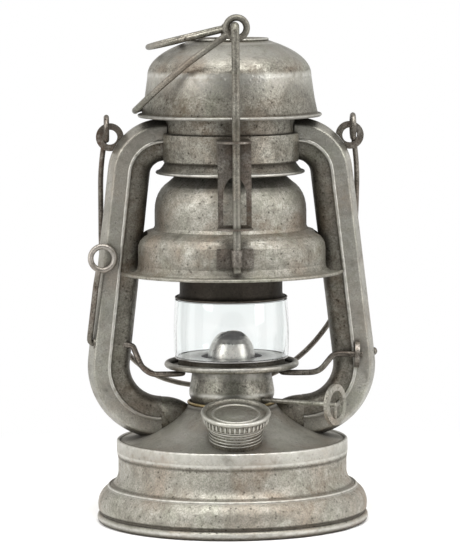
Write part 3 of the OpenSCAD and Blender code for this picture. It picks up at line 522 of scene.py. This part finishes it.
def chain(group, *steps):
    """Links nodes one after the other through their first geometry sockets."""
    for a, b in zip(steps, steps[1:]):
        source = next(s for s in a.outputs if s.type == "GEOMETRY")
        target = next(s for s in b.inputs if s.type == "GEOMETRY")
        group.links.new(source, target)


ribs, ins, out = group_of("ribs_around", [("Count", "Int"), ("Radius", "Float"), ("Size", "Vector"),
                                          ("Lean", "Rotation"), ("Material", "Material")])
around = ribs.nodes.new("GeometryNodeMeshCircle")
ribs.links.new(ins.outputs["Count"], around.inputs["Vertices"])
ribs.links.new(ins.outputs["Radius"], around.inputs["Radius"])
bead = ribs.nodes.new("GeometryNodeMeshUVSphere")
bead.inputs["Segments"].default_value = 12
bead.inputs["Rings"].default_value = 10
bead.inputs["Radius"].default_value = 1.0
where = ribs.nodes.new("GeometryNodeInputPosition")
turn = ribs.nodes.new("FunctionNodeAlignRotationToVector")
turn.axis = "X"
turn.pivot_axis = "Z"
ribs.links.new(where.outputs[0], turn.inputs["Vector"])
tilt = ribs.nodes.new("FunctionNodeRotateRotation")
tilt.rotation_space = "LOCAL"
ribs.links.new(turn.outputs[0], tilt.inputs["Rotation"])
ribs.links.new(ins.outputs["Lean"], tilt.inputs["Rotate By"])
spread = ribs.nodes.new("GeometryNodeInstanceOnPoints")
ribs.links.new(bead.outputs["Mesh"], spread.inputs["Instance"])
ribs.links.new(tilt.outputs[0], spread.inputs["Rotation"])
ribs.links.new(ins.outputs["Size"], spread.inputs["Scale"])
real = ribs.nodes.new("GeometryNodeRealizeInstances")
paint = ribs.nodes.new("GeometryNodeSetMaterial")
ribs.links.new(ins.outputs["Material"], paint.inputs["Material"])
chain(ribs, around, spread, real, paint, out)
print("rib group with", len(ribs.nodes), "nodes")

# %% Neck, cap and seal
NECK_TOP = Vector((0.0, -45.0, 63.0))
NECK_LEAN = Matrix.Rotation(math.radians(15), 4, "X")
NECK = Matrix.Translation(NECK_TOP) @ NECK_LEAN
turns = (-9.5, -11.2, -12.9, -14.6)
threads = [ring(13.4, z, 0.5, 12) for z in turns]
spun("filler_neck_tube", [[(12.5, -30.0), (13.4, -30.0), (13.4, -4.2), (12.5, -4.2)]] + threads, old_tin,
     "lantern", ["filler_neck"], wear_and_sheen=[(13.95, z, 0.75) for z in turns],
     grime_and_shade=[(13.4, z - 0.85, 0.55) for z in turns], place=NECK)
curl = [math.radians(150 - 15 * i) for i in range(17)]
lip = [(16.7 + 1.2 * math.cos(a), -1.2 + 1.2 * math.sin(a)) for a in curl]
cap = [(0.0, -3.0), (0.0, -1.3), (5.4, -1.35), (6.2, -1.6)]
cap += [(11.0, -1.6), (11.6, -1.1), (12.2, -1.1), (12.8, -1.6)]
cap += [(15.1, -1.6)] + lip + [(16.4, -2.7), (16.0, -5.6), (16.3, -5.8), (16.1, -6.4), (14.75, -6.5)]
cap += [(14.7, -8.5), (14.2, -8.5), (14.2, -3.0)]
spun("cap_cup", [cap, ring(14.7, -7.5, 0.5, 12)], pale_tin, "filler_cap", ["filler_cap"],
     wear_and_sheen=[(17.4, -0.6, 1.5), (15.2, -7.5, 0.8), (11.9, -1.0, 1.2), (16.2, -6.2, 0.6), (3.0, -1.3, 4.0)],
     grime_and_shade=[(16.2, -4.2, 1.3), (14.8, -1.6, 1.2), (14.8, -6.7, 0.7)], place=NECK)
mesh = grown("cap_ribs", [(0, 0, 0)], [], ribs, {
    "Count": 42, "Radius": 16.35 * MM, "Size": (0.0007, 0.00066, 0.0019),
    "Lean": (0.0, math.radians(7.0), 0.0), "Material": pale_tin})
mesh.transform(Matrix.Translation((0, 0, -4.15 * MM)))
mesh.transform(Matrix.Translation(NECK_TOP * MM) @ NECK_LEAN)
dress(mesh, "cap_ribs", pale_tin, "filler_cap", [], lambda v: (0.6, 0.0))

# %% [markdown]
# ## The side tubes
# Each tube is folded from two pressed halves, a flat-faced outer half and a round inner half, and the
# edges are rolled together into a seam along both sides. A section swept along the line of the tube
# gives the same result, and the seam is the part that hands polish.

# %% Tubes
LOW_BEND = (37.0, 81.4, 27.2)
TOP_BEND = (34.5, 181.0, 18.3)
TUBE_END_X = 32.9
run, rise, gain = (q - p for p, q in zip(LOW_BEND, TOP_BEND))
LEAN = math.atan2(-run, rise) + math.asin(-gain / math.hypot(rise, run))
line = [(*LOW_BEND, -math.pi / 2 + (math.pi / 2 + LEAN) * i / 32) for i in range(33)]
for i in range(1, 12):
    line.append((*(p + (q - p) * i / 12 for p, q in zip(LOW_BEND, TOP_BEND)), LEAN))
line += [(*TOP_BEND, LEAN + (math.pi / 2 - LEAN) * i / 24) for i in range(25)]
line.append((TUBE_END_X, *TOP_BEND[1:], math.pi / 2))


def swept(side, loops, soot=0.0):
    """Points, faces and marks of closed sections carried along a tube.

    A section holds (outward, across, wear). The line's points hold a bend's centre, its radius and the
    angle about it, so a section is carried at right angles to the tube.
    """
    verts, faces, pairs = [], [], []
    for loop in loops:
        base, n = len(verts), len(loop)
        for x, z, r, a in line:
            for u, w, bright in loop:
                q = 0.12 * noise.noise(Vector((side * x, w, z + 30 * a)) * 0.09)
                h = r + u + (q if abs(u) > 2 else 0.0) - 0.12 * (u > 2)
                verts.append((side * (x + h * math.cos(a)), w, z + h * math.sin(a)))
                low = max(0.0, 1 - (z + h * math.sin(a) - 48) / 26) if u < 6 else 0.0
                pairs.append((bright * (1 - 0.6 * low), max(0.75 * low, soot)))
        for k in range(len(line) - 1):
            for i in range(n):
                j = (i + 1) % n
                here, there = base + k * n, base + (k + 1) * n
                faces.append((here + i, here + j, there + j, there + i))
        faces.append(tuple(range(base, base + n)))
        faces.append(tuple(base + (len(line) - 1) * n + i for i in reversed(range(n))))
    return verts, faces, pairs


face = soften([(0.3, -10.8), (8.0, -10.8), (11.0, -2.4), (11.0, 2.4), (8.0, 10.8), (0.3, 10.8)], 1.3)
folded = [min(abs(abs(w) - 2.4) - 1.0, abs(abs(w) - 10.2) - 0.7) < 0 for u, w in face]
face = [(u, w, 0.3 if bright else 0.2) for (u, w), bright in zip(face, folded)]
inside = [(u, w, 0.0) for u, w in offset([p[:2] for p in face], SHEET)[::-1]]
folds = [[(u, w, 0.8) for u, w in ring(-0.3, s * 10.2, 1.1, 14)] for s in (-1, 1)]
round_half = [(-1.3, 9.6)] + bez((-3.0, 9.6), (-11.0, 9.6), (-11.0, 0.0), 10)
round_half += bez((-11.0, 0.0), (-11.0, -9.6), (-3.0, -9.6), 10)[1:] + [(-1.3, -9.6)]
belly = [(u, w, 0.0) for u, w in band(round_half)]
for side, word in ((-1, "left"), (1, "right")):
    outer, inner = word + "_tube_outer", word + "_tube_inner"
    verts, faces, pairs = swept(side, [face + inside] + folds)
    finished(word + "_tube_face", verts, faces, old_tin, "lantern", [outer], pairs, 40.0)
    verts, faces, pairs = swept(side, [belly], 0.5)
    finished(word + "_tube_back", verts, faces, old_tin, "lantern", [inner], pairs, 40.0)

# %% [markdown]
# ## Air chamber, hood and crown
# Warm air gathers in the chamber under the hood and is drawn down the tubes. The chamber and hood are
# spun, and their free edges are beaded. The chamber carries a painted shadow under the hood's brim,
# the hood darkens towards its brim, and a broad painted highlight lies on the hood's upper slope.

# %% Chamber and hood
skirt = soften([(38.4, 182.1), (35.6, 185.0), (34.1, 187.2), (34.1, 216.0)], 1.2)
# A painted shadow of the hood darkens the chamber's upper part, and the crease above its bead is darkened
# too.
spun("chamber", [band(skirt), ring(38.0, 182.4, 0.8)], old_tin, "lantern", ["air_chamber"],
     wear_and_sheen=[(38.6, 182.6, 1.4)], dent=0.2,
     grime_and_shade=[(34.4, 187.4, 1.6), (34.2, 210.0, 8.0), (34.2, 204.0, 22.0, 0.45)])
CROWN_Z = 250.3
SHOULDER = (42.6, 231.7)
hood = soften([(47.5, 211.7), (46.8, 212.0), (45.9, 212.8), (45.6, 213.9), (44.2, 220.7), SHOULDER], 1.0)
hood = hood[:-1] + bez(SHOULDER, (43.0, 243.0), (20.5, CROWN_Z), 24)
# A broad painted highlight brightens the hood's upper slope, and its beaded brim is rubbed bright.
spun("hood_shell", [band(hood), ring(47.1, 211.9, 0.8)], old_tin, "lantern", ["hood"],
     wear_and_sheen=[(47.8, 212.0, 1.6), (42.8, 233.0, 2.5), (24.0, 249.8, 2.5), (33.0, 246.5, 13.0, 0.5)],
     grime_and_shade=[(45.8, 213.2, 1.8), (46.0, 214.5, 15.0, 0.5)], dent=0.45)
rim = [(19.9 + 0.6 * math.cos(t / 10), 251.0 + 0.6 * math.sin(t / 10)) for t in range(-6, 16, 2)]
top = [(0.0, CROWN_Z), (20.2, CROWN_Z)] + rim + [(19.2, CROWN_Z + SHEET), (0.0, CROWN_Z + SHEET)]
spun("crown_disc", [top], old_tin, "lantern", ["crown_plate"],
     wear_and_sheen=[(20.3, 251.4, 1.2)], grime_and_shade=[(18.4, 251.1, 1.6), (4.0, 251.1, 5.0)])

# %% [markdown]
# ## Burner, plate and globe
# The burner barrel holds the wick works. A bright cone with a slot shapes the draught around the
# flame, and the globe stands on a plate in a wire-edged dish, so the glass can be lifted to light
# the wick.

# %% Burner and dish
barrel = soften([(20.9, 60.0), (21.0, 62.8), (22.3, 66.0), (22.3, 68.0), (21.4, 73.0), (20.5, 79.0)], 1.4)
spun("burner_barrel", [band(barrel)], old_tin, "lantern", ["burner_body"],
     wear_and_sheen=[(22.3, 67.0, 1.4), (20.6, 78.8, 1.0)], grime_and_shade=[(21.0, 62.0, 2.2)], dent=0.1)
dish = [ring(33.4, 82.0, 1.7, 20), [(24.0, 80.4), (33.4, 80.4), (33.4, 81.2), (24.0, 81.2)],
        [(27.0, 80.4), (27.8, 80.4), (27.8, 85.4), (27.0, 85.4)]]
spun("dish_and_wire", dish, old_tin, "globe_carriage", ["globe_dish"],
     wear_and_sheen=[(34.6, 83.2, 1.6)], grime_and_shade=[(31.6, 81.4, 2.0), (27.9, 82.0, 2.0)])
plate = [(16.0, 85.4), (29.4, 85.4), (29.6, 85.6), (29.6, 86.0), (29.4, 86.2), (16.4, 86.2), (16.0, 86.0)]
spun("globe_plate", [plate], bright_tin, "globe_carriage", ["globe_disc"],
     wear_and_sheen=[(29.5, 86.0, 1.0)], grime_and_shade=[(17.0, 86.2, 1.5)])

# %% [markdown]
# The globe is a short barrel of pressed glass. Its edges are ground, so they are rounded here; that
# soft edge catches the light and makes the glass readable against a white background.

# %% Globe
wall = soften([(29.6, 86.35), (29.9, 90.0), (30.2, 101.0), (29.7, 110.0), (29.3, 115.85)], 4.0, 6)
inner = offset(wall, 1.3)
top_edge = ((wall[-1][0] + inner[-1][0]) / 2, 116.0)
foot_edge = ((wall[0][0] + inner[0][0]) / 2, 86.2)
glass = wall + [top_edge] + inner[::-1] + [foot_edge]
spun("globe_barrel", [glass], globe_glass, "globe_carriage", ["globe"], crease=60.0)

# %% Chimney tube
pipe = soften([(29.05, 116.9), (27.6, 117.6), (26.8, 119.0), (26.8, 190.0)], 0.8)
spun("chimney_pipe", [band(pipe), ring(28.75, 117.0, 0.6, 14)], sooted_steel, "bell_body", ["chimney_tube"],
     wear_and_sheen=[(29.2, 117.2, 0.9)], grime_and_shade=[(27.2, 122.0, 6.0)])

# %% [markdown]
# ## Wires
# Five pieces are bent from wire: the guide rod, the top wire, the bail, the globe lifter with its loop
# lever, and the finger ring. One node group bends them all. It takes a line drawing of the wire's
# route, spaces points evenly along it, and carries a circle along the line.

# %% The wire group
bent, ins, out = group_of("bent_wire", [("Radius", "Float"), ("Step", "Float"), ("Sides", "Int"),
                                        ("Material", "Material")])
route = bent.nodes.new("GeometryNodeMeshToCurve")
evenly = bent.nodes.new("GeometryNodeResampleCurve")
evenly.mode = "LENGTH"
bent.links.new(ins.outputs["Step"], evenly.inputs["Length"])
section = bent.nodes.new("GeometryNodeCurvePrimitiveCircle")
bent.links.new(ins.outputs["Radius"], section.inputs["Radius"])
bent.links.new(ins.outputs["Sides"], section.inputs["Resolution"])
skinned = bent.nodes.new("GeometryNodeCurveToMesh")
skinned.inputs["Fill Caps"].default_value = True
bent.links.new(section.outputs[0], skinned.inputs["Profile Curve"])
real = bent.nodes.new("GeometryNodeRealizeInstances")
paint = bent.nodes.new("GeometryNodeSetMaterial")
bent.links.new(ins.outputs["Material"], paint.inputs["Material"])
chain(bent, ins, route, evenly, skinned, real, paint, out)


def wire(name, runs, d, look, body, node, at=None):
    """Bends wire of diameter d mm along runs of points in mm; a run marked True is a closed ring."""
    verts, edges = [], []
    for points, closed in runs:
        base, n = len(verts), len(points)
        verts += points
        edges += [(base + i, base + i + 1) for i in range(n - 1)]
        if closed:
            edges.append((base + n - 1, base))
    values = {"Radius": d / 2 * MM, "Step": 0.9 * MM, "Sides": 20, "Material": look}
    mesh = grown(name, verts, edges, bent, values)
    return dress(mesh, name, look, body, [node], at, 60.0)


def hoop(centre, r, across, n=48):
    """Points of a ring about a centre, in the plane that has across as its normal: X or Y."""
    out = []
    for i in range(n):
        a = 2 * math.pi * i / n
        c, s = r * math.cos(a), r * math.sin(a)
        way = (0, c, s) if across == "X" else (c, 0, s)
        out.append(tuple(p + q for p, q in zip(centre, way)))
    return out


print("wire group with", len(bent.nodes), "nodes")

# %% Guide rod and top wire
ROD_X, ROD_Y, ROD_TOP = 0.8, -53.2, 259.0
rod = soften([(ROD_X, ROD_Y, 134.4), (ROD_X, ROD_Y, ROD_TOP), (ROD_X, -43.5, ROD_TOP)], 2.6, 8)
wire("guide_rod", [(rod, False)], 4.1, old_tin, "bell_body", "front_rod",
     lambda v: (max(0.0, 0.5 - abs(v.z - 160) / 30), 0.3 + max(0.0, 0.6 - abs(v.z - 140) / 9)))
tail = [(-2.56, -47.5, 254.9), (-22.6, -42, 240.5), (-38, -34, 227), (-48.6, -25.5, 216.5)]
tail += [(-49.4, -13, 214.9), (-48.6, 0, 214.8), (-46.4, 14, 214.8), (-40.6, 27, 214.8)]
top_eye = hoop((1.6, -47.5, 258.0), 5.2, "Y")
wire("top_wire_bent", [(top_eye, True), (soften(tail, 6.0, 6), False)], 3.4,
     old_tin, "top_wire", "top_wire", lambda v: (0.1, 0.25 + max(0.0, 0.5 - abs(v.z - 252) / 9)))

# %% [markdown]
# The bail hooks through an ear on each tube and hangs behind the globe when it isn't in use. The
# lifter passes under the dish, around the burner and out through the left tube, where it turns up
# into a loop for the thumb.

# %% Bail
HINGE_X, HINGE_Z, HOOK_R = 64, 205.2, 5.9
HANG = math.radians(19)


def bail_at(x, s):
    """A point of the bail, s mm down its slope from the hinge."""
    c, k = math.cos(HANG), math.sin(HANG)
    return (x, HOOK_R * c + s * k, HINGE_Z + HOOK_R * k - s * c)


bow = [(-HINGE_X, 0), (-67.2, 26), (-67.2, 70), (-66, 95), (-62, 116), (-53.2, 134), (-39, 146)]
bow += [(-22, 151.6), (-3, 152.5), (14, 150), (30, 143), (44, 130.5), (55, 115), (62.7, 97)]
bow += [(66.4, 76), (67.2, 50), (67.2, 26), (HINGE_X, 0)]
hooks = [(hoop((x, 0, HINGE_Z), HOOK_R, "X"), True) for x in (-HINGE_X, HINGE_X)]
wire("bail_wire", [(soften([bail_at(*p) for p in bow], 9.0, 6), False)] + hooks, 2.8,
     brown_steel, "bail", "bail",
     lambda v: (max(0.0, 0.7 - abs(v.z - 64) / 30), max(0.0, 0.6 - abs(v.z - 202) / 9)))

# %% Lifter
LEFT_END = Vector((-74.2, -7.0, 94.2))
RIGHT_END = Vector((66.0, -13.3, 87.4))


def on_axis(x):
    """The point of the lifter's turning axis at x."""
    return tuple(LEFT_END + (RIGHT_END - LEFT_END) * (x - LEFT_END.x) / (RIGHT_END.x - LEFT_END.x))


BOW_Z, BOW_R = 78.2, 27
MID = on_axis(0)[1] - 1.5
swing = [math.radians(20 * i - 20) for i in range(12)]
path = [on_axis(67.5), on_axis(52.6), (46, MID - 0.6, BOW_Z + 1.6), (42, MID - 0.3, BOW_Z), (31, MID, BOW_Z)]
path += [(BOW_R * math.cos(a), BOW_R * math.sin(a), BOW_Z) for a in swing]
path += [(-31, MID, BOW_Z), (-42, MID - 0.3, BOW_Z), (-47, MID + 0.6, BOW_Z + 3.5), (-50.6, -8.2, 90.2)]
path += [on_axis(-51.6), on_axis(-74.2), (-73.4, -9.4, 101), (-72, -11, 112), (-70.4, -12.6, 125)]
path.append((-68.92, -13.5, 133.17))
loop = hoop((-66.8, -13.5, 139.0), 6.2, "Y")
wire("lifter_wire", [(soften(path, 3.0, 5), False), (loop, True)], 3.0, brown_steel,
     "globe_lifter", "globe_lifter", lambda v: (max(0.0, 0.9 - abs(v.z - 140) / 16), 0.0))

# %% Finger ring
SLOPE = Matrix.Rotation(math.radians(-13.2), 4, "Y")
TILT = Matrix.Translation((-1.5, 0, 256.7)) @ SLOPE @ Matrix.Rotation(math.pi, 4, "Z")
CORNER, END_R, END_X = 6, 13.5, 28.0
SIDE = END_R - CORNER


def laid(points):
    """Points of the flat ring, laid on the slope of the hood."""
    return [tuple(TILT @ Vector(p)) for p in points]


quarter = [i * math.pi / 16 for i in range(1, 9)]
half = [i * math.pi / 28 for i in range(29)]
flat = [(0, 0, 0), (0, SIDE, 0)]
flat += [(CORNER - CORNER * math.cos(t), SIDE + CORNER * math.sin(t), 0) for t in quarter]
flat += [(END_X + END_R * math.sin(t), END_R * math.cos(t), 0) for t in half]
flat += [(CORNER - CORNER * math.cos(t), -SIDE - CORNER * math.sin(t), 0) for t in reversed(quarter)]
flat.append((0, -SIDE, 0))
bar = [(END_X - 3, -END_R + 2 * END_R * i / 8, 0) for i in range(9)]
wire("finger_ring", [(laid(flat), True), (laid(bar), False)], 3.0,
     old_tin, "hood_ring", "hood_ring",
     lambda v: (max(0.0, 0.4 - abs(v.x + 40) / 22), 0.2 + max(0.0, 0.6 - abs(v.x) / 8)))

# %% [markdown]
# ## Pieces kept from the frame
# Flat stampings, hinge ears and the wick works already have their true shape in the solids, so they
# stay and only take a material: tin for the stampings, the bell and the knob, brown steel for what
# guides or carries load, and brass for the wick works.

# %% Materials for kept pieces
KEPT = {
    old_tin: ["collar_band", "ring_lug", "burner_deck"],
    pale_tin: ["bell", "wick_shaft"],
    brown_steel: ["left_ear", "right_ear", "guide_bracket", "rod_clip",
                  "lifter_bush", "lifter_eye", "lifter_rivet"],
    sooted_steel: ["hood_baffle"],
    burner_brass: ["wick_tube", "wick_wheels"],
    bright_tin: ["burner_cone"],
    cotton_wick: ["wick"],
    cork_seal: ["cap_seal"],
}
for look, names in KEPT.items():
    for name in names:
        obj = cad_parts[name]
        for slot in obj.material_slots:
            slot.material = look
        print(name, "takes", look.name)

# %% [markdown]
# ## Floor, light and camera
# The floor is pale and fades to pure white away from the lantern, so only a soft contact shadow is
# left. Curved metal shows what surrounds it, so the surroundings are bright at the sides and behind
# and darker in front, which draws the dark edges and bright bands of a studio tent.

# %% Floor
mesh = bpy.data.meshes.new("floor")
mesh.from_pydata([(-6, -6, 0), (6, -6, 0), (6, 6, 0), (-6, 6, 0)], [], [(0, 1, 2, 3)])
floor = bpy.data.objects.new("floor", mesh)
bpy.context.scene.collection.objects.link(floor)
pale = bpy.data.materials.new("pale_floor")
pale.use_nodes = True
tree = pale.node_tree
tree.nodes.clear()
place = tree.nodes.new("ShaderNodeTexCoord").outputs["Object"]
reach = tree.nodes.new("ShaderNodeVectorMath")
reach.operation = "LENGTH"
tree.links.new(place, reach.inputs[0])
fade = step(tree, reach.outputs["Value"], 0.085, 0.34)
matt = put(tree, "ShaderNodeBsdfDiffuse", Color=(0.93, 0.925, 0.92, 1.0))
glow = put(tree, "ShaderNodeEmission", Color=(1.0, 1.0, 1.0, 1.0), Strength=1.0)
both = put(tree, "ShaderNodeMixShader", Fac=fade)
tree.links.new(matt.outputs[0], both.inputs[1])
tree.links.new(glow.outputs[0], both.inputs[2])
out = tree.nodes.new("ShaderNodeOutputMaterial")
tree.links.new(both.outputs[0], out.inputs[0])
mesh.materials.append(pale)
print("floor ready")

# %% Surroundings
world = bpy.data.worlds.new("tent")
bpy.context.scene.world = world
world.use_nodes = True
tree = world.node_tree
tree.nodes.clear()
way = put(tree, "ShaderNodeSeparateXYZ", Vector=tree.nodes.new("ShaderNodeTexCoord").outputs["Generated"])
front = step(tree, way.outputs["Y"], -0.85, 0.1, 0.16, 1.0)
sides = step(tree, calc(tree, "ABSOLUTE", way.outputs["X"]), 0.25, 0.75, 0.55, 1.25)
above = step(tree, way.outputs["Z"], 0.35, 0.9, 0.0, 1.05)
level = calc(tree, "MAXIMUM", calc(tree, "MULTIPLY", front, sides), above)
tent = put(tree, "ShaderNodeBackground", Strength=level)
tent.inputs["Color"].default_value = (1.0, 0.99, 0.975, 1.0)
white = put(tree, "ShaderNodeBackground", Strength=1.0)
white.inputs["Color"].default_value = (1.0, 1.0, 1.0, 1.0)
rays = tree.nodes.new("ShaderNodeLightPath")
seen = calc(tree, "MAXIMUM", rays.outputs["Is Camera Ray"], rays.outputs["Is Transmission Ray"])
pick = put(tree, "ShaderNodeMixShader", Fac=seen)
tree.links.new(tent.outputs[0], pick.inputs[1])
tree.links.new(white.outputs[0], pick.inputs[2])
out = tree.nodes.new("ShaderNodeOutputWorld")
tree.links.new(pick.outputs[0], out.inputs[0])
print("surroundings ready")


# %% Lamps
def lamp(name, place, size, power):
    """A soft square lamp that faces the middle of the lantern."""
    light = bpy.data.lights.new(name, "AREA")
    light.shape = "RECTANGLE"
    light.size, light.size_y = size
    light.energy = power
    obj = bpy.data.objects.new(name, light)
    obj.location = place
    obj.rotation_euler = (Vector((0, 0, 0.13)) - Vector(place)).to_track_quat("-Z", "Y").to_euler()
    bpy.context.scene.collection.objects.link(obj)


lamp("left_bank", (-0.95, -0.75, 0.6), (0.55, 1.0), 5.5)
lamp("right_bank", (1.0, -0.65, 0.55), (0.5, 1.0), 5.0)
lamp("top_bank", (0.0, -0.45, 1.1), (0.9, 0.7), 10.5)
print("lamps ready")

# %% Camera
scene = bpy.context.scene
AZ = math.radians(-2.5)
FAR = 1.8
eye = Vector((FAR * math.sin(AZ), -FAR * math.cos(AZ), 0.304))
aim = Vector((-0.0005, 0.0, 0.1278))
back = (eye - aim).normalized()
right = Vector((0, 0, 1)).cross(back).normalized()
up = back.cross(right)
roll = math.radians(-0.43)
across = right * math.cos(roll) + up * math.sin(roll)
tall = up * math.cos(roll) - right * math.sin(roll)
camera = bpy.data.cameras.new("photo_view")
camera.lens = 226.4
camera.sensor_width = 36.0
camera.clip_end = 50.0
shooter = bpy.data.objects.new("photo_view", camera)
turn = Matrix((across, tall, back)).transposed().to_4x4()
shooter.matrix_world = Matrix.Translation(eye) @ turn
scene.collection.objects.link(shooter)
scene.camera = shooter
scene.view_settings.view_transform = "Standard"
scene.view_settings.look = "None"
print("camera ready")
